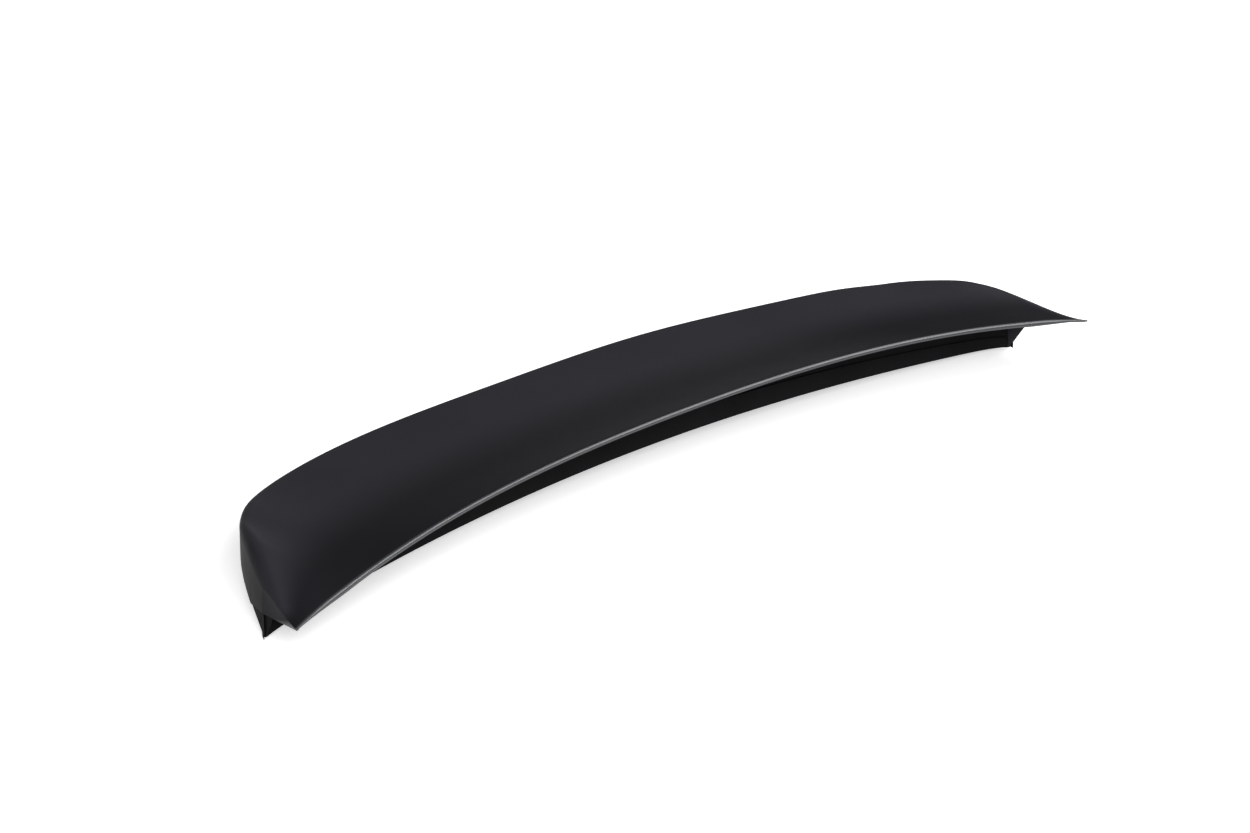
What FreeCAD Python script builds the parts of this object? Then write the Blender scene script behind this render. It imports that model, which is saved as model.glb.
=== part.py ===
# Rear wing for a boot lid: one moulded shell with a kicked-up trailing lip.
# Millimetres. +X runs along the span, +Y forward to the front of the car, +Z up.
# The origin is the middle of the rear wall's bottom edge, where the shell sits on the lid.
import os
import FreeCAD
import Part

doc = FreeCAD.newDocument("rear_wing")
sheet = doc.addObject("Spreadsheet::Sheet", "sizes")

SIZES = [
    ("half_span", 650.0, "middle to one tip"),
    ("plan_depth", 385.0, "tips to the front edge, along the middle"),
    ("plan_power", 4.09, "how square the front corners are"),
    ("plan_round", 1.2, "how full the sides are"),
    ("lip_sweep", 71.0, "how far the lip's middle lies ahead of the tips"),
    ("lip_crown", 45.5, "how far the lip's middle lies above the tips"),
    ("fall_slope", 0.174, "mean slope of the skin down to the front edge"),
    ("end_slope", 0.65, "slope taken back towards the ends"),
    ("end_power", 5.9, "how late that slope comes in"),
    ("tip_share", 1.07, "share of that slope lost again at the tips"),
    ("tip_power", 20.0, "how close to the tips it is lost"),
    ("skin_sag", 11.0, "hollow of the skin between lip and front edge"),
    ("lip_edge", 6.0, "height of the lip's rear edge"),
    ("skin_wall", 3.5, "thickness of the skin over the lid"),
    ("side_wall", 4.0, "thickness of the turned-down edge"),
    ("rear_wall", 5.0, "thickness of the rear wall"),
    ("wall_half", 617.0, "middle to one end of the rear wall"),
    ("wall_end_y", 92.0, "rear wall's ends ahead of the tips"),
    ("wall_bow", 57.0, "how far the rear wall's middle lies ahead of its ends"),
    ("wall_drop", 50.0, "rear wall's bottom corners below the tips"),
    ("wall_crown", 18.4, "how far the rear wall's bottom rises to its middle"),
    ("seat_slope", 0.03, "slope of the bottom edge up to the front, at the middle"),
    ("seat_side", 0.24, "slope added to it at the sides"),
    ("step_rise", 27.0, "step line above the rear wall's bottom"),
    ("step_depth", 2.0, "how far the wall steps in above that line"),
    ("gusset_run", 19.0, "length of the small web behind each wall end"),
    ("gusset_drop", 15.0, "level of that web's top below the tips"),
    ("reach", 260.0, "height of the trimming blocks"),
]
for row, (alias, value, note) in enumerate(SIZES, start=1):
    sheet.set("A%d" % row, alias)
    sheet.set("B%d" % row, str(value))
    sheet.set("C%d" % row, note)
    sheet.setAlias("B%d" % row, alias)
doc.recompute()


def size(alias):
    return float(sheet.get(alias))


half_span = size("half_span")
lip_sweep = size("lip_sweep")
lip_crown = size("lip_crown")
wall_half = size("wall_half")
plan_depth = size("plan_depth")
reach = size("reach")

# The curves are written from the tips. These two bring them to the origin.
origin_y = size("wall_end_y") + size("wall_bow")
origin_z = size("wall_crown") - size("wall_drop")


def lip_y(x):
    return lip_sweep * (1.0 - (x / half_span) ** 2)


def lip_z(x):
    return lip_crown * (1.0 - abs(x / half_span) ** 3)


def wall_y(x):
    return size("wall_end_y") + size("wall_bow") * (1.0 - (x / wall_half) ** 2)


def wall_z(x):
    return size("wall_crown") * (1.0 - (x / wall_half) ** 2) - size("wall_drop")


def edge_y(x):
    inside = max(0.0, 1.0 - abs(x / half_span) ** size("plan_power"))
    return plan_depth * inside ** (1.0 / size("plan_round"))


def skin_z(x, y):
    s = min(1.0, abs(x / half_span))
    run = y - lip_y(x)
    part_way = run / (plan_depth - lip_sweep)
    kept = 1.0 - size("tip_share") * s ** size("tip_power")
    slope = size("end_slope") * s ** size("end_power") * kept - size("fall_slope")
    sag = size("skin_sag") * (1.0 - s * s) * 4.0 * part_way * (1.0 - part_way)
    return lip_z(x) + slope * run - sag


def seat_z(x, y):
    slope = size("seat_slope") + size("seat_side") * (x / wall_half) ** 4
    return wall_z(x) + slope * (y - wall_y(x))


def step_z(x, y):
    return wall_z(x) + size("step_rise") * (1.0 - 0.5 * (x / half_span) ** 2)


def point(x, y, z):
    return FreeCAD.Vector(x, y - origin_y, z - origin_z)


# Faces given by a height at each place cannot be drawn as sketches, so they are fitted here.
def height_face(name, height, lowered=0.0):
    columns = 41
    rows = 21
    wide = half_span * 1.06
    back = -0.12 * plan_depth
    front = 1.08 * plan_depth
    grid = []
    for i in range(columns):
        x = -wide + 2.0 * wide * i / (columns - 1)
        line = []
        for j in range(rows):
            y = back + (front - back) * j / (rows - 1)
            line.append(point(x, y, height(x, y) - lowered))
        grid.append(line)
    surface = Part.BSplineSurface()
    surface.interpolate(grid)
    face = doc.addObject("Part::Feature", name)
    face.Shape = surface.toShape()
    return face


def plan_face(name, edges):
    face = doc.addObject("Part::Feature", name)
    face.Shape = Part.Face(Part.Wire(edges))
    return face


def curve(points):
    spline = Part.BSplineCurve()
    spline.interpolate(points)
    return spline.toShape()


def extrude(name, base, direction):
    block = doc.addObject("Part::Extrusion", name)
    block.Base = base
    block.DirMode = "Custom"
    block.Dir = FreeCAD.Vector(0, 0, direction)
    block.setExpression("LengthFwd", "sizes.reach")
    block.Solid = True
    return block


def boolean(kind, name, base, tool):
    result = doc.addObject("Part::" + kind, name)
    result.Base = base
    result.Tool = tool
    return result


# Flat outlines, all drawn well below the part.
low = -0.5 * reach


def flat(x, y):
    return FreeCAD.Vector(x, y - origin_y, low)


def spread(count, limit):
    # places along the span, closer together towards the ends
    places = []
    for i in range(count):
        t = -1.0 + 2.0 * i / (count - 1)
        places.append(limit * t * (1.5 - 0.5 * t * t))
    return places


def inset_edge(distance, x):
    # a place on the front and side edge, moved square to it into the part
    step = 0.01
    x1 = max(-half_span, x - step)
    x2 = min(half_span, x + step)
    run = x2 - x1
    rise = edge_y(x2) - edge_y(x1)
    length = (run * run + rise * rise) ** 0.5
    return x + distance * rise / length, edge_y(x) - distance * run / length


def meeting(distance, ahead):
    # the place on the edge whose inset meets a line ahead of the rear wall
    near = 0.5 * half_span
    far = half_span
    for _ in range(60):
        middle = 0.5 * (near + far)
        x, y = inset_edge(distance, middle)
        if y > wall_y(x) + ahead:
            near = middle
        else:
            far = middle
    return near


edge_places = spread(61, half_span)
edge_points = [flat(x, edge_y(x)) for x in edge_places]
lip_points = [flat(x, lip_y(x)) for x in spread(25, half_span)]
outline = plan_face("outline", [curve(edge_points), curve(lip_points[::-1])])
outline_block = extrude("outline_block", outline, 1)

skin_face = height_face("skin_face", skin_z)
skin_block = extrude("skin_block", skin_face, -1)
solid_form = boolean("Common", "solid_form", skin_block, outline_block)

# The bottom edge follows the lid.
seat_face = height_face("seat_face", seat_z)
seat_block = extrude("seat_block", seat_face, -1)
seated_form = boolean("Cut", "seated_form", solid_form, seat_block)

# The hollow over the lid, inside the turned-down edge and ahead of the rear wall.
inner_place = meeting(size("side_wall"), size("rear_wall"))
inner_points = [inset_edge(size("side_wall"), x) for x in spread(61, inner_place)]
inner_wall = [(x, wall_y(x) + size("rear_wall")) for x in spread(25, inner_points[-1][0])]
inner_wall[0] = inner_points[0]
inner_wall[-1] = inner_points[-1]
hollow_plan = plan_face("hollow_plan", [
    curve([flat(x, y) for x, y in inner_points]),
    curve([flat(x, y) for x, y in inner_wall[::-1]]),
])
hollow_prism = extrude("hollow_prism", hollow_plan, 1)
hollow_face = height_face("hollow_face", skin_z, size("skin_wall"))
hollow_block = extrude("hollow_block", hollow_face, -1)
hollow = boolean("Common", "hollow", hollow_block, hollow_prism)
hollowed_form = boolean("Cut", "hollowed_form", seated_form, hollow)

# The undercut behind the rear wall leaves the lip as a blade between two side webs.
behind = -0.1 * plan_depth
corner = inset_edge(size("side_wall"), meeting(size("side_wall"), 0.0))
tip_side = inset_edge(size("side_wall"), half_span * 0.9995)
under_wall = [(x, wall_y(x)) for x in spread(25, corner[0])]
under_right = under_wall[-1]
under_left = under_wall[0]
undercut_plan = plan_face("undercut_plan", [
    curve([flat(x, y) for x, y in under_wall]),
    Part.makeLine(flat(*under_right), flat(tip_side[0], tip_side[1])),
    Part.makeLine(flat(tip_side[0], tip_side[1]), flat(tip_side[0], behind)),
    Part.makeLine(flat(tip_side[0], behind), flat(-tip_side[0], behind)),
    Part.makeLine(flat(-tip_side[0], behind), flat(-tip_side[0], tip_side[1])),
    Part.makeLine(flat(-tip_side[0], tip_side[1]), flat(*under_left)),
])
undercut_prism = extrude("undercut_prism", undercut_plan, 1)
under_face = height_face("under_face", skin_z, size("lip_edge"))
under_block = extrude("under_block", under_face, -1)
undercut = boolean("Common", "undercut", under_block, undercut_prism)
bladed_form = boolean("Cut", "bladed_form", hollowed_form, undercut)

# Each side web runs from the wall's bottom corner up to the tip.
side = doc.addObject("Part::Feature", "web_profile")
wide_x = -1.1 * half_span
web_top = size("wall_end_y") - size("gusset_run")
web_line = [
    (size("wall_end_y"), -size("wall_drop")),
    (web_top, -size("gusset_drop")),
    (0.0, -size("lip_edge")),
    (behind, -size("lip_edge")),
    (behind, -reach),
    (size("wall_end_y"), -reach),
]
web_loop = [point(wide_x, y, z) for y, z in web_line]
side.Shape = Part.Face(Part.makePolygon(web_loop + web_loop[:1]))
web_cut = doc.addObject("Part::Extrusion", "web_cut")
web_cut.Base = side
web_cut.DirMode = "Custom"
web_cut.Dir = FreeCAD.Vector(1, 0, 0)
web_cut.setExpression("LengthFwd", "2.2 * sizes.half_span")
web_cut.Solid = True
webbed_form = boolean("Cut", "webbed_form", bladed_form, web_cut)

# The rear wall steps in above a line along its middle.
step_places = spread(25, corner[0] - 2.0 * size("side_wall"))
step_wall = [(x, wall_y(x) + size("step_depth")) for x in step_places]
step_far = step_wall[-1]
step_near = step_wall[0]
step_plan = plan_face("step_plan", [
    curve([flat(x, y) for x, y in step_wall]),
    Part.makeLine(flat(*step_far), flat(step_far[0], behind)),
    Part.makeLine(flat(step_far[0], behind), flat(step_near[0], behind)),
    Part.makeLine(flat(step_near[0], behind), flat(*step_near)),
])
step_prism = extrude("step_prism", step_plan, 1)
step_face = height_face("step_face", step_z)
step_block = extrude("step_block", step_face, -1)
step_under = boolean("Common", "step_under", under_block, step_prism)
step_cut = boolean("Cut", "step_cut", step_under, step_block)
spoiler_shell = boolean("Cut", "spoiler_shell", webbed_form, step_cut)
spoiler_shell.Label = "spoiler_shell"
spoiler_shell.Placement = FreeCAD.Placement()
doc.recompute()

for item in doc.Objects:
    if "Invalid" in item.State or "Error" in item.State:
        raise RuntimeError("feature did not build: " + item.Name)
    if hasattr(item, "Shape") and (item.Shape.isNull() or not item.Shape.isValid()):
        raise RuntimeError("shape is not valid: " + item.Name)
if len(spoiler_shell.Shape.Solids) != 1:
    raise RuntimeError("the shell is not one solid")

os.makedirs("parts", exist_ok=True)
spoiler_shell.Shape.exportStep("parts/" + spoiler_shell.Label + ".step")
box = spoiler_shell.Shape.BoundBox
print("spoiler_shell", box.XLength, box.YLength, box.ZLength, spoiler_shell.Shape.Volume)
print(box.XMin, box.XMax, box.YMin, box.YMax, box.ZMin, box.ZMax)
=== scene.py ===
# %% [markdown]
# # A boot-lid rear wing, dressed for a product picture
# The part is one thin moulding in satin black plastic. Seen from behind and above, its skin
# runs from a rounded front edge back to a kicked-up lip, and a dark wall hangs under the lip.
# The frame gives the measured solid in metres. This lesson lays a smooth, rounded shell over
# that solid, gives it a moulded finish, and sets up camera and light.

# %% Load the frame
import bisect
import math

import bpy
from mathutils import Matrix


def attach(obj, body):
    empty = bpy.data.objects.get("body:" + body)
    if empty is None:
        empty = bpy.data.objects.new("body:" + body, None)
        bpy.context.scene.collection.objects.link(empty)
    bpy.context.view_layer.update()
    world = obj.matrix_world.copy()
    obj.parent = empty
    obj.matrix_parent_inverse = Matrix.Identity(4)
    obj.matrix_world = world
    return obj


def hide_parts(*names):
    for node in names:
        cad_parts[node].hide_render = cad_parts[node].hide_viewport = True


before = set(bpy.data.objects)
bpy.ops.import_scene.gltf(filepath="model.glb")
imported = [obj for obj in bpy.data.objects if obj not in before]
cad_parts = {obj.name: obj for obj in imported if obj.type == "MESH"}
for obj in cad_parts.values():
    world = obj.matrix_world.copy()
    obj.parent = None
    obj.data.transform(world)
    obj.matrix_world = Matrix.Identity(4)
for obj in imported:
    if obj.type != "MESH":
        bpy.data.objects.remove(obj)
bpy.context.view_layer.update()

# %% [markdown]
# ## Camera
# The picture is taken from behind the left tip, looking down at about 23 degrees. A short lens
# close by would make the near tip much larger than the far one. A long lens from far away keeps
# the span nearly parallel, as in the photograph, so the camera stands almost six metres off.

# %% Camera
EYE = (-3.7369, -3.8574, 2.3146)
TURN = math.radians(44.0)
DIP = math.radians(22.9)
LENS = 141.55
SENSOR = 36.0

bpy.ops.object.select_all(action="DESELECT")
bpy.ops.object.camera_add(location=EYE, rotation=(math.pi / 2 - DIP, 0.0, -TURN))
camera = bpy.context.object
camera.name = "camera"
camera.data.lens = LENS
camera.data.sensor_width = SENSOR
camera.data.clip_end = 100.0
bpy.context.scene.camera = camera
print("camera at", EYE, "lens", LENS)

# %% [markdown]
# ## Lip and front edge
# On the real part the lip sweeps back towards its two tips, and the front edge is a flat arch
# with two round corners. Such lines could be drawn by hand as curves. Short formulas are used
# instead, in millimetres from the middle of the two tips, because they have the same sizes as
# the solid and can be asked for a place anywhere along the span.

# %% Lip and front edge
MM = 0.001
ORIGIN_Y = 149.0
ORIGIN_Z = -31.6
HALF = 650.0
DEPTH = 385.0
LIP_SWEEP = 71.0
EDGE_POWER = 4.09
EDGE_BEND = 1.2


def placed(x, y, z):
    # from millimetres at the tips to metres in the frame
    return x * MM, (y - ORIGIN_Y) * MM, (z - ORIGIN_Z) * MM


def measured(co):
    # from metres in the frame to millimetres at the tips
    return co.x / MM, co.y / MM + ORIGIN_Y, co.z / MM + ORIGIN_Z


def lip_point(t):
    return HALF * t, LIP_SWEEP * (1 - t * t)


def edge_depth(x):
    return DEPTH * max(0.0, 1 - abs(x / HALF) ** EDGE_POWER) ** (1 / EDGE_BEND)


print("lip in the middle", lip_point(0.0), "front edge", edge_depth(0.0))

# %% [markdown]
# ## Height of the skin
# Over most of the span the skin falls forward from the lip, with a slight hollow. Towards each
# end it twists until it climbs forward, and the front corner stands up a little. Pulling a mesh
# into that twist by eye would leave dents, so the height is one smooth sum: the lip's own
# height, a slope that changes along the span, the hollow, and a low swell at the corners.

# %% Height of the skin
LIP_RISE = 45.5
SKIN_FALL = 0.174
END_LIFT = 0.65
END_POWER = 5.9
TIP_FALL = 1.07
TIP_POWER = 20
SAG = 11.0
CORNER_RISE = 14.0
CORNER_AT = 0.912
CORNER_WIDTH = 0.042
DIP_DEPTH = 5.5
DIP_AT = 0.815
DIP_WIDTH = 0.05


def bell(s, middle, width):
    return math.exp(-((s - middle) / width) ** 2)


def skin_height(x, y):
    s = min(1.0, abs(x / HALF))
    run = y - LIP_SWEEP * (1 - s * s)
    along = run / (DEPTH - LIP_SWEEP)
    slope = END_LIFT * s ** END_POWER * (1 - TIP_FALL * s ** TIP_POWER) - SKIN_FALL
    sag = SAG * (1 - s * s) * 4 * along * (1 - along)
    swell = CORNER_RISE * bell(s, CORNER_AT, CORNER_WIDTH) - DIP_DEPTH * bell(s, DIP_AT, DIP_WIDTH)
    return LIP_RISE * (1 - s ** 3) + slope * run - sag + swell * max(0.0, along)


print("skin at the lip", skin_height(0.0, LIP_SWEEP), "at the front", round(skin_height(0.0, DEPTH), 1))

# %% [markdown]
# ## Rear wall and lid
# The wall under the lip stands on the boot lid, and the lower edge of the whole moulding follows
# that lid. Only the line of the wall's foot is known, so the lid is a plain surface through it:
# it falls to both sides and rises slowly to the front.

# %% Rear wall and lid
WALL_HALF = 617.0
WALL_END = 615.0
WALL_TIP = 92.0
WALL_SWEEP = 57.0
WALL_TURN = 5.0
TURN_POWER = 12
LID_RISE = 18.4
LID_LOW = -50.0
LID_SLOPE = 0.03
LID_SIDE_SLOPE = 0.24
END_DROP = 7.0
DROP_POWER = 24


def wall_point(t):
    # the ends of the wall turn forward a little
    return WALL_END * t, WALL_TIP + WALL_SWEEP * (1 - t * t) + WALL_TURN * abs(t) ** TURN_POWER


def foot_height(x, y, t):
    # the lower edge follows the lid, and reaches a little lower at the two ends
    s = (x / WALL_HALF) ** 2
    ahead = y - WALL_TIP - WALL_SWEEP * (1 - s)
    lid = LID_RISE * (1 - s) + LID_LOW + (LID_SLOPE + LID_SIDE_SLOPE * s * s) * ahead
    return lid - END_DROP * abs(t) ** DROP_POWER


print("foot of the wall", wall_point(0.0), "height", round(foot_height(*wall_point(0.0), 0.0), 1))

# %% [markdown]
# ## Even steps round the front edge
# The edge turns from crosswise to lengthwise at each front corner. Equal steps across the span
# would leave long thin faces there. Steps of equal length along the edge keep the mesh even, so
# the edge is measured once as a fine chain and then read by length.

# %% Edge chain
CHAIN_STEPS = 2000


def between(a, b, part):
    return tuple(p + (q - p) * part for p, q in zip(a, b))


chain = []
for i in range(CHAIN_STEPS + 1):
    x = WALL_HALF * math.sin(math.pi / 2 * (2 * i / CHAIN_STEPS - 1))
    chain.append((x, edge_depth(x)))
lengths = [0.0]
for a, b in zip(chain, chain[1:]):
    lengths.append(lengths[-1] + math.dist(a, b))


def edge_point(t):
    want = (t + 1) / 2 * lengths[-1]
    high = bisect.bisect_left(lengths, want, 1, CHAIN_STEPS)
    part = (want - lengths[high - 1]) / (lengths[high] - lengths[high - 1])
    return between(chain[high - 1], chain[high], part)


print("edge length", round(lengths[-1]), "mm, corner at", edge_point(0.7))

# %% [markdown]
# ## Rounding of the edges
# The skin rolls over into its turned-down edge: tightly along the front, in a full round along
# the sides, and hardly at all at the thin tips. A plain bevel has one width and can't fade like
# that. Here the skin is lowered near its outline by the drop of a circle. The distance is
# taken squarely to the outline, which keeps the round even at the corners.

# %% Rounding of the edges
FRONT_ROUND = 9.0
SIDE_ROUND = 19.0
TIP_ROUND = 0.5
ROUND_FADE = 130.0
SIDE_START = 0.78
SIDE_RISE = 0.1


def clamped(a):
    return min(1.0, max(0.0, a))


def smooth(a):
    a = clamped(a)
    return a * a * (3 - 2 * a)


def dropped(distance, radius):
    # how far a rounded edge lies below a sharp one
    inside = max(0.0, radius - distance)
    return radius - math.sqrt(max(0.0, radius * radius - inside * inside))


def edge_round(t, y):
    full = FRONT_ROUND + (SIDE_ROUND - FRONT_ROUND) * smooth((abs(t) - SIDE_START) / SIDE_RISE)
    return max(TIP_ROUND, full * min(1.0, y / ROUND_FADE))


def edge_gap(x, y):
    # the outline's formula, divided by how fast it changes, is a distance
    s = min(1.0, abs(x / HALF))
    d = max(0.0, y / DEPTH)
    level = max(0.0, 1 - s ** EDGE_POWER - d ** EDGE_BEND)
    across = EDGE_POWER * s ** (EDGE_POWER - 1) / HALF
    ahead = EDGE_BEND * max(0.001, d) ** (EDGE_BEND - 1) / DEPTH
    return level / math.hypot(across, ahead)


def top_height(x, y, t):
    return skin_height(x, y) - dropped(edge_gap(x, y), edge_round(t, y))


print("drop at the front edge", round(dropped(0.0, edge_round(0.0, DEPTH)), 1), "mm")

# %% [markdown]
# ## Skin and turned-down edge of one section
# A cut through the moulding starts at the lip, runs over the skin and turns down at the edge. On
# the sides the turned-down edge ends at a border with a small step inward, and goes on down to
# the lid. Points lie closer together at both ends, where the line bends most.

# %% Skin and edge lines
SKIN_STEPS = 61
CROWDING = 0.85
LIP_ROUND = 5.5
LIP_THINNING = 0.7
THIN_START = 0.86
KNEE = -24.0
BORDER_FALL = 10.0 / 45.0
SIDE_STEP = 1.6


def spaced(count, power):
    # steps from 0 to 1, closer together at both ends
    turns = [math.cos(math.pi * i / (count - 1)) for i in range(count)]
    return [0.5 - 0.5 * math.copysign(abs(turn) ** power, turn) for turn in turns]


def lip_share(t):
    # the lip keeps its thickness over the span and thins out to the tips
    return 1.0 - LIP_THINNING * smooth((abs(t) - THIN_START) / (1 - THIN_START))


def skin_line(lip, edge, t):
    points = []
    for v in spaced(SKIN_STEPS, CROWDING):
        x, y = between(lip, edge, v)
        nose = dropped(math.dist(lip, edge) * v, LIP_ROUND * lip_share(t))
        points.append((x, y, top_height(x, y, t) - nose))
    return points


def side_line(edge, top, t, stepped):
    low = foot_height(*edge, t)
    border = max(low, KNEE - BORDER_FALL * (1 - abs(t)) * lengths[-1] / 2)
    inset = edge
    if stepped and border >= low + 1:
        inset = (edge[0] - math.copysign(SIDE_STEP, t), edge[1])
    return [(*edge, (top + border) / 2), (*edge, border), (*inset, border), (*inset, low)]


print("points over the skin", len(skin_line(lip_point(0.0), edge_point(0.0), 0.0)))

# %% [markdown]
# ## Hollow of one section
# Below the skin the moulding is open to the lid. A thickness could be added to the skin by a
# modifier, but the hollow has to close towards the two ends, where the side webs are. So
# its roof is a line of the section too, and one number lowers it to the lid.

# %% Hollow line
SKIN = 3.5
SIDE_WALL = 4.0
REAR_WALL = 5.0
HOLLOW_STEPS = 24


def hollow_line(edge, foot, t, hollow):
    room = math.dist(foot, edge)
    start = between(edge, foot, min(SIDE_WALL, 0.5 * room) / room)
    end = between(foot, edge, min(REAR_WALL, 0.3 * room) / room)
    points = [(*start, foot_height(*start, t))]
    for k in range(HOLLOW_STEPS + 1):
        x, y = between(start, end, k / HOLLOW_STEPS)
        low = foot_height(x, y, t)
        roof = max(low, top_height(x, y, t) - SKIN)
        points.append((x, y, low + (roof - low) * hollow))
    points.append((*end, foot_height(*end, t)))
    return points


print("points in the hollow", len(hollow_line(edge_point(0.0), wall_point(0.0), 0.0, 1.0)))

# %% [markdown]
# ## Rear of one section
# Over the span the rear is the wall: a lower half, a small step, a recessed upper half, and the
# underside of the lip. In the end rows it is the edge of the side web instead, which rises to a
# knee and then slants out to the tip. Both lines have the same number of points, so the last
# wall section joins the web face by face.

# %% Rear lines
LIP_EDGE = 6.0
STEP_HEIGHT = 27.0
STEP_DEPTH = 2.0
LIP_STEPS = 17
WEB_STEPS = 6


def wall_line(foot, edge, lip, t):
    room = math.dist(foot, edge)
    recess = between(foot, edge, min(STEP_DEPTH, 0.2 * room) / room)
    base = foot_height(*foot, t)
    step = base + STEP_HEIGHT * (1 - 0.5 * t * t)
    thick = LIP_EDGE * lip_share(t)
    under = top_height(*foot, t) - thick
    points = [(*foot, base + (step - base) * k / 2) for k in range(3)]
    points += [(*recess, step + (under - step) * k / 3) for k in range(4)]
    for k in range(1, LIP_STEPS + 1):
        x, y = between(recess, lip, k / LIP_STEPS)
        points.append((x, y, top_height(x, y, t) - thick))
    return points


def web_line(foot, lip, t):
    base = foot_height(*foot, t)
    thick = LIP_EDGE * lip_share(t)
    points = [(*foot, base + (KNEE - base) * k / WEB_STEPS) for k in range(WEB_STEPS + 1)]
    for k in range(1, LIP_STEPS + 1):
        x, y = between(foot, lip, k / LIP_STEPS)
        points.append((x, y, KNEE + (-thick - KNEE) * k / LIP_STEPS))
    return points


print("step in the wall at", STEP_HEIGHT, "mm above the lid in the middle")

# %% [markdown]
# ## The whole section
# The four lines make one closed loop. Every section has the same number of points, so neighbours
# join into clean four-sided faces. In the end rows the foot lies on the straight line from lip
# to edge, which makes the face that closes each end flat.

# %% Section
WEB_FOOT = 3.0


def section(t, web=False, hollow=1.0):
    lip = lip_point(t)
    edge = edge_point(t)
    foot = wall_point(t)
    if web:
        foot = between(edge, lip, WEB_FOOT / math.dist(lip, edge))
    skin = skin_line(lip, edge, t)
    side = side_line(edge, skin[-1][2], t, not web)
    inside = hollow_line(edge, foot, t, hollow)
    rear = web_line(foot, lip, t) if web else wall_line(foot, edge, lip, t)
    return skin + side + inside + rear


print("points in one section", len(section(0.0)), "and in a web", len(section(1.0, True)))

# %% [markdown]
# ## A small language for shader maths
# A finish is a tree of nodes, and trees are easier to read as sums. One class wraps a node's
# socket, so that plus, minus and times add Math nodes. A second one holds a material, and its
# one method for nodes sets any node's settings, values and links.

# %% Shader maths


class Value:
    def __init__(self, tree, socket):
        self.tree = tree
        self.socket = socket

    def math(self, operation, other, swap=False):
        node = self.tree.nodes.new("ShaderNodeMath")
        node.operation = operation
        pair = (other, self) if swap else (self, other)
        for slot, item in zip(node.inputs, pair):
            if isinstance(item, Value):
                self.tree.links.new(item.socket, slot)
            else:
                slot.default_value = item
        return Value(self.tree, node.outputs[0])

    def __add__(self, other):
        return self.math("ADD", other)

    __radd__ = __add__

    def __sub__(self, other):
        return self.math("SUBTRACT", other)

    def __rsub__(self, other):
        return self.math("SUBTRACT", other, True)

    def __mul__(self, other):
        return self.math("MULTIPLY", other)

    __rmul__ = __mul__


print("numbers and sockets can be added, subtracted and multiplied")

# %% Materials


class Finish:
    def __init__(self, name):
        self.material = bpy.data.materials.new(name)
        self.material.use_nodes = True
        self.tree = self.material.node_tree
        self.shader = self.tree.nodes["Principled BSDF"]

    def node(self, kind, settings=None, inputs=None, output=0):
        made = self.tree.nodes.new(kind)
        for key, item in (settings or {}).items():
            setattr(made, key, item)
        for key, item in (inputs or {}).items():
            if isinstance(item, Value):
                self.tree.links.new(item.socket, made.inputs[key])
            else:
                made.inputs[key].default_value = item
        return Value(self.tree, made.outputs[output])

    def mix(self, factor, first, second):
        # a Mix node keeps its colour sockets at these places
        sockets = {0: factor, 6: first, 7: second}
        return self.node("ShaderNodeMix", {"data_type": "RGBA"}, sockets, output=2)

    def set(self, **constants):
        for key, item in constants.items():
            self.shader.inputs[key.replace("_", " ")].default_value = item

    def feed(self, name, value):
        self.tree.links.new(value.socket, self.shader.inputs[name])


print("shader helpers ready")

# %% [markdown]
# ## Satin black plastic
# Moulded plastic is never one flat black. The skin has a very fine grain from the tool and wide
# clouds of gloss where the melt cooled at different speeds. Its paler front half and darker
# turned-down side are painted light and shade, and the grey nose of the lip is a painted highlight.
# One dark colour would look like a hole in the picture. So clouds tint the colour, one mask sets
# the painted light and shade, another adds the painted grey highlight and a clear coat on the nose,
# and the grain goes to a faint bump.

# %% Satin black plastic
DEEP_TINT = (0.8, 0.81, 0.95, 1)
PALE_TINT = (1.16, 1.15, 1.36, 1)
# the grey of the lip's nose is a painted highlight
NOSE_HIGHLIGHT_GREY = (0.052, 0.053, 0.056, 1)
BLACK = 0.0108
# the next value scales the painted light and shade on the skin
PAINTED_LIGHT_TONE = 0.0148

plastic = Finish("satin_black_plastic")
place = plastic.node("ShaderNodeTexCoord", output="Object")
clouds = plastic.node("ShaderNodeTexNoise", {"noise_dimensions": "3D"},
                      {"Vector": place, "Scale": 7.0, "Detail": 4.0, "Roughness": 0.55})
grain = plastic.node("ShaderNodeTexNoise", {"noise_dimensions": "3D"},
                     {"Vector": place, "Scale": 900.0, "Detail": 2.0, "Roughness": 0.6})
# this mask carries the painted light and shade of the skin
front = plastic.node("ShaderNodeAttribute", {"attribute_name": "painted_light_and_shade"}, output="Fac")
# this mask marks the painted highlight on the lip's nose, where a real clear coat is added too
nose = plastic.node("ShaderNodeAttribute", {"attribute_name": "lip_nose_highlight"}, output="Fac")
tone = BLACK + front * PAINTED_LIGHT_TONE
tint = plastic.mix(clouds, DEEP_TINT, PALE_TINT)
black = plastic.node("ShaderNodeVectorMath", {"operation": "SCALE"}, {"Vector": tint, "Scale": tone})
plastic.feed("Base Color", plastic.mix(nose, black, NOSE_HIGHLIGHT_GREY))
plastic.feed("Coat Weight", nose * 0.72)
plastic.feed("Roughness", 0.42 + clouds * 0.12 + grain * 0.05 - nose * 0.14)
bump = plastic.node("ShaderNodeBump", None, {"Strength": 0.06, "Distance": 0.0003, "Height": grain})
plastic.feed("Normal", bump)
plastic.set(Specular_IOR_Level=0.02, Coat_Roughness=0.2)
print("material", plastic.material.name)

# %% [markdown]
# ## Grained black plastic
# The side of the moulding that faces the lid is not polished in the tool. The rear wall, the
# underside of the lip and the hollow keep a matt leather-like grain, so they look much darker
# than the skin. Cell noise gives the grain, and a slow noise makes it a little uneven.

# %% Grained black plastic
DARK_GRAIN = (0.007, 0.0071, 0.0076, 1)
PALE_GRAIN = (0.014, 0.0141, 0.015, 1)

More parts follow.
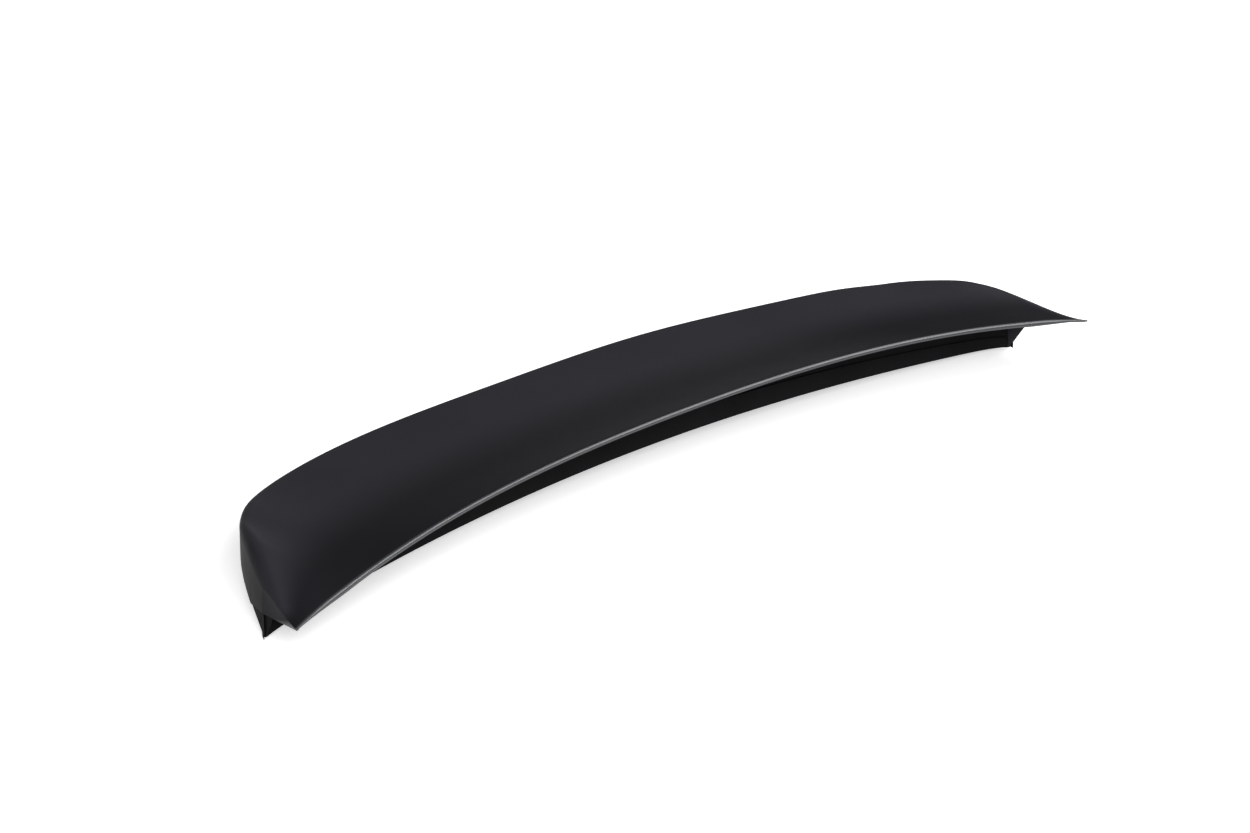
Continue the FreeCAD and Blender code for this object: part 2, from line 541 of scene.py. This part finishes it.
grained = Finish("grained_black_plastic")
place = grained.node("ShaderNodeTexCoord", output="Object")
cells = grained.node("ShaderNodeTexVoronoi", {"feature": "F1"}, {"Vector": place, "Scale": 520.0})
drift = grained.node("ShaderNodeTexNoise", {"noise_dimensions": "3D"},
                     {"Vector": place, "Scale": 14.0, "Detail": 3.0, "Roughness": 0.5})
grained.feed("Base Color", grained.mix(drift, DARK_GRAIN, PALE_GRAIN))
grained.feed("Roughness", 0.5 + drift * 0.12 + cells * 0.1)
pits = grained.node("ShaderNodeBump", None, {"Strength": 0.12, "Distance": 0.0004, "Height": cells})
grained.feed("Normal", pits)
grained.set(Specular_IOR_Level=0.01)
print("material", grained.material.name)

# %% [markdown]
# ## Rows of sections
# The shell is a row of sections from tip to tip, closer together towards the ends, where the
# form changes fastest. The two outermost rows on each side are the web: they are full, with no
# hollow. Just inside them the roof of the hollow comes down to meet the web.

# %% Rows of sections
STATIONS = 181
LAST_WALL = 0.9935
FIRST_WEB = 0.994
HOLLOW_END = 0.985
HOLLOW_FADE = 0.015


def station(i):
    even = 2 * i / (STATIONS - 1) - 1
    return math.sin(math.pi / 2 * even) * 0.55 + even * 0.45


rows = [section(-1.0, True, 0.0), section(-FIRST_WEB, True, 0.0)]
for i in range(STATIONS):
    t = LAST_WALL * station(i)
    rows.append(section(t, False, clamped((HOLLOW_END - abs(t)) / HOLLOW_FADE)))
rows += [section(FIRST_WEB, True, 0.0), section(1.0, True, 0.0)]
columns = len(rows[0])
print("sections", len(rows), "with points", columns)

# %% [markdown]
# ## The shell
# The moulding could be cut from a block, but its thin twisted skin is easier to lay than to cut.
# A flat grid has the right pattern of faces, so one is added and its rows are laid onto the
# sections. The skin, its turned-down edge and the nose of the lip get the satin finish, and all
# other faces the grain.

# %% Shell grid
SATIN_COLUMNS = SKIN_STEPS + 1

bpy.ops.object.select_all(action="DESELECT")
bpy.ops.mesh.primitive_grid_add(x_subdivisions=columns, y_subdivisions=len(rows) - 1, size=1.0)
shell = bpy.context.object
shell.name = "wing_shell"
shell.data.materials.append(plastic.material)
shell.data.materials.append(grained.material)
for index, face in enumerate(shell.data.polygons):
    column = index % columns
    face.material_index = 1 if SATIN_COLUMNS <= column < columns - 1 else 0
for index, vertex in enumerate(shell.data.vertices):
    row, column = divmod(index, columns + 1)
    vertex.co = placed(*rows[row][column % columns])
print("shell faces", len(shell.data.polygons))

# %% [markdown]
# ## Closing the shell
# The first and the last column of the grid now lie on each other and are merged. What stays open
# is a loop at each tip. Both loops are found as the only edges with a single face, and one face
# fills each of them: these are the outer faces of the side webs.

# %% Closed shell
MERGE = 0.00002

bpy.ops.object.mode_set(mode="EDIT")
bpy.ops.mesh.select_all(action="SELECT")
bpy.ops.mesh.remove_doubles(threshold=MERGE)
bpy.ops.mesh.select_all(action="DESELECT")
bpy.ops.mesh.select_mode(type="EDGE")
bpy.ops.mesh.select_non_manifold(extend=False, use_wire=False, use_multi_face=False,
                                 use_non_contiguous=False, use_verts=False)
bpy.ops.mesh.edge_face_add()
bpy.ops.mesh.select_all(action="SELECT")
bpy.ops.mesh.normals_make_consistent(inside=False)
bpy.ops.object.mode_set(mode="OBJECT")
print("shell faces", len(shell.data.polygons), "box", [round(v, 3) for v in shell.dimensions])

# %% [markdown]
# ## Soft moulded edges
# No edge of a moulding is quite sharp, because the melt doesn't fill a sharp corner. One bevel
# over all edges that turn by more than 38 degrees gives each of them a narrow highlight. Shading
# by angle keeps the rest smooth, and the many-sided end faces stay flat.

# %% Soft edges
SOFT_EDGE = 0.0012
SOFT_ANGLE = math.radians(38)
SMOOTH_ANGLE = math.radians(40)
END_FACE_SIDES = 20

bevel = shell.modifiers.new("soft_edges", "BEVEL")
bevel.width = SOFT_EDGE
bevel.segments = 3
bevel.limit_method = "ANGLE"
bevel.angle_limit = SOFT_ANGLE
bevel.use_clamp_overlap = True
bpy.ops.object.modifier_apply(modifier=bevel.name)
bpy.ops.object.shade_smooth_by_angle(angle=SMOOTH_ANGLE)
for face in shell.data.polygons:
    if face.loop_total > END_FACE_SIDES:
        face.use_smooth = False
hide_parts("spoiler_shell")
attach(shell, "root")
print("shell faces with soft edges", len(shell.data.polygons))

# %% [markdown]
# ## Gussets under the tips
# A small three-sided plate ties the foot of the wall to the underside of the lip near each end.
# It could be part of the shell's grid, but its sharp outline would need many more sections. A
# cube is added instead and its corners are set: low ones at the wall, high ones under the skin,
# and the upper rear ones drawn back and outward. The face towards the middle has the satin finish
# and painted light that makes it paler, and the others have the grain.

# %% Gussets
GUSSET_X = 612.5
GUSSET_BACK = 60.0
GUSSET_FOOT = 2.0
GUSSET_SKEW = 0.32
GUSSET_THICK = 3.0
GUSSET_LOW = -55.0
GUSSET_SOFT = 0.0008
REAR_COVER = 3.0
FRONT_COVER = 10.0
# the next value is painted light on each plate's satin face
GUSSET_PAINTED_LIGHT = 1.4


def gusset(name, side):
    bpy.ops.object.select_all(action="DESELECT")
    bpy.ops.mesh.primitive_cube_add(size=1.0)
    plate = bpy.context.object
    plate.name = name
    wall = wall_point(GUSSET_X / WALL_END)[1] + GUSSET_FOOT
    for vertex in plate.data.vertices:
        rear = vertex.co.y < 0
        high = vertex.co.z > 0
        y = wall
        if rear:
            y = GUSSET_BACK if high else wall - GUSSET_FOOT
        x = side * (GUSSET_X + GUSSET_SKEW * (wall - y)) + GUSSET_THICK * vertex.co.x
        z = GUSSET_LOW
        if high:
            z = skin_height(x, y) - (REAR_COVER if rear else FRONT_COVER)
        vertex.co = placed(x, y, z)
    bpy.ops.object.mode_set(mode="EDIT")
    bpy.ops.mesh.select_all(action="SELECT")
    bpy.ops.mesh.bevel(offset=GUSSET_SOFT, segments=2, affect="EDGES")
    bpy.ops.object.mode_set(mode="OBJECT")
    bpy.ops.object.shade_smooth_by_angle(angle=SMOOTH_ANGLE)
    plate.data.materials.append(grained.material)
    plate.data.materials.append(plastic.material)
    for face in plate.data.polygons:
        face.material_index = 1 if face.normal.x * side < -0.5 else 0
    # painted light: the plate's satin face is made paler than the shade under the lip leaves it
    pale = plate.data.attributes.new("painted_light_and_shade", "FLOAT", "POINT")
    for value in pale.data:
        value.value = GUSSET_PAINTED_LIGHT
    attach(plate, "root")
    return plate


gussets = [gusset("gusset_left", -1), gusset("gusset_right", 1)]
print("gussets", [round(v, 4) for v in gussets[0].dimensions])

# %% [markdown]
# ## Where the lip's painted highlight is
# The rounded nose of the lip gets a painted highlight: its colour is greyer than the broad skin.
# A pattern in space can't follow its curve. A named value on each vertex can: 1 on the nose and 0
# elsewhere lets the finish know where it is.

# %% Lip mask
NOSE_END = 4.5
NOSE_FADE = 3.0
NOSE_DEPTH = 5.9

# mask of the painted highlight along the lip's nose
mask = shell.data.attributes.new("lip_nose_highlight", "FLOAT", "POINT")
for vertex, value in zip(shell.data.vertices, mask.data):
    x, y, z = measured(vertex.co)
    ahead = y - lip_point(x / HALF)[1]
    under = skin_height(x, y) - z
    value.value = clamped((NOSE_END - ahead) / NOSE_FADE) if under < NOSE_DEPTH else 0.0
print("vertices on the nose", sum(1 for v in mask.data if v.value > 0.5))

# %% [markdown]
# ## Where light and shade are painted on the skin
# The skin is painted darkest behind, near the lip, and paler over its front half: painted light and
# shade. A second value on each vertex rises from 0 to 1 between a quarter and seven tenths of the
# way from lip to edge. On the turned-down side it falls again with depth, down to below zero except
# near the tips, as painted shade on a face that stands up towards the lamp.

# %% Front half mask
PALE_START = 0.25
PALE_RISE = 0.45
SHORT_SKIN = 60.0
SIDE_DEPTH = 17.5
SIDE_FADE = 14.0
SIDE_LEAST = -0.38
TIP_PALE = 0.6
TIP_FROM = 115.0
TIP_FADE = 45.0

# painted light and shade: paler skin in front, darker turned-down side
painted_shading_mask = shell.data.attributes.new("painted_light_and_shade", "FLOAT", "POINT")
for vertex, value in zip(shell.data.vertices, painted_shading_mask.data):
    x, y, z = measured(vertex.co)
    lip_y = lip_point(x / HALF)[1]
    share = (y - lip_y) / max(SHORT_SKIN, edge_depth(x) - lip_y)
    under = skin_height(x, y) - z
    least = TIP_PALE * clamped((TIP_FROM - y) / TIP_FADE) + SIDE_LEAST
    side = max(least, min(1.0, (SIDE_DEPTH - under) / SIDE_FADE))
    value.value = smooth((share - PALE_START) / PALE_RISE) * side
print("vertices on the front half", sum(1 for v in painted_shading_mask.data if v.value > 0.5))

# %% [markdown]
# ## Floor
# The picture is a product shot on white. A white world would leave the part hanging in the air,
# so it rests on a wide pale floor that takes its soft shadow. Through Light Path the floor glows
# a little for the camera and in reflections only, which makes it white without lighting the part.

# %% Floor
FLOOR_SIZE = 40.0
FLOOR_GAP = 0.0005
FLOOR_GLOW = (0.55, 0.55, 0.55, 1)

bpy.ops.object.select_all(action="DESELECT")
bpy.ops.mesh.primitive_plane_add(size=FLOOR_SIZE, location=(0.0, 0.0, 0.0))
floor = bpy.context.object
floor.name = "floor"
floor.location.z = min(v.co.z for v in shell.data.vertices) - FLOOR_GAP
paint = Finish("floor_white")
camera_ray = paint.node("ShaderNodeLightPath", output="Is Camera Ray")
mirror_ray = paint.node("ShaderNodeLightPath", output="Is Glossy Ray")
glass_ray = paint.node("ShaderNodeLightPath", output="Is Transmission Ray")
seen = camera_ray + mirror_ray + glass_ray
paint.feed("Emission Color", paint.mix(seen, (0, 0, 0, 1), FLOOR_GLOW))
paint.set(Base_Color=(0.82, 0.82, 0.82, 1), Roughness=0.9, Specular_IOR_Level=0.0, Emission_Strength=1.0)
floor.data.materials.append(paint.material)
print("floor at", round(floor.location.z, 4))

# %% [markdown]
# ## Light
# Black plastic shows its form by soft changes of tone, so all lamps are wide areas with no hard
# edge. The main one stands high behind the left tip and lights skin and lip. One on the right
# fills the far half, and a small one above the right end keeps its top from going dull. A dim
# world fills what is left.

# %% Light
world = bpy.data.worlds.new("studio")
bpy.context.scene.world = world
world.use_nodes = True
sky = world.node_tree.nodes["Background"]
sky.inputs["Color"].default_value = (0.93, 0.96, 1.0, 1)
sky.inputs["Strength"].default_value = 0.12


def lamp(name, place, aim, size, power):
    bpy.ops.object.select_all(action="DESELECT")
    bpy.ops.object.light_add(type="AREA", location=place)
    light = bpy.context.object
    light.name = name
    light.data.shape = "RECTANGLE"
    light.data.size, light.data.size_y = size
    light.data.energy = power
    east, north, rise = (b - a for a, b in zip(place, aim))
    tilt = math.atan2(math.hypot(east, north), -rise)
    light.rotation_euler = (tilt, 0.0, math.atan2(north, east) - math.pi / 2)
    light.visible_camera = False
    return light


lamp("rear_left", place=(-2.2, -2.6, 2.2), aim=(0.0, 0.0, 0.0), size=(2.4, 1.6), power=178)
lamp("right_top", place=(1.5, 0.3, 1.4), aim=(0.6, 0.0, 0.0), size=(1.0, 0.8), power=11)
lamp("right_side", place=(2.6, -1.5, 2.6), aim=(0.0, 0.0, 0.0), size=(2.4, 1.6), power=90)
bpy.context.scene.view_settings.view_transform = "Standard"
print("three lamps and a dim world")
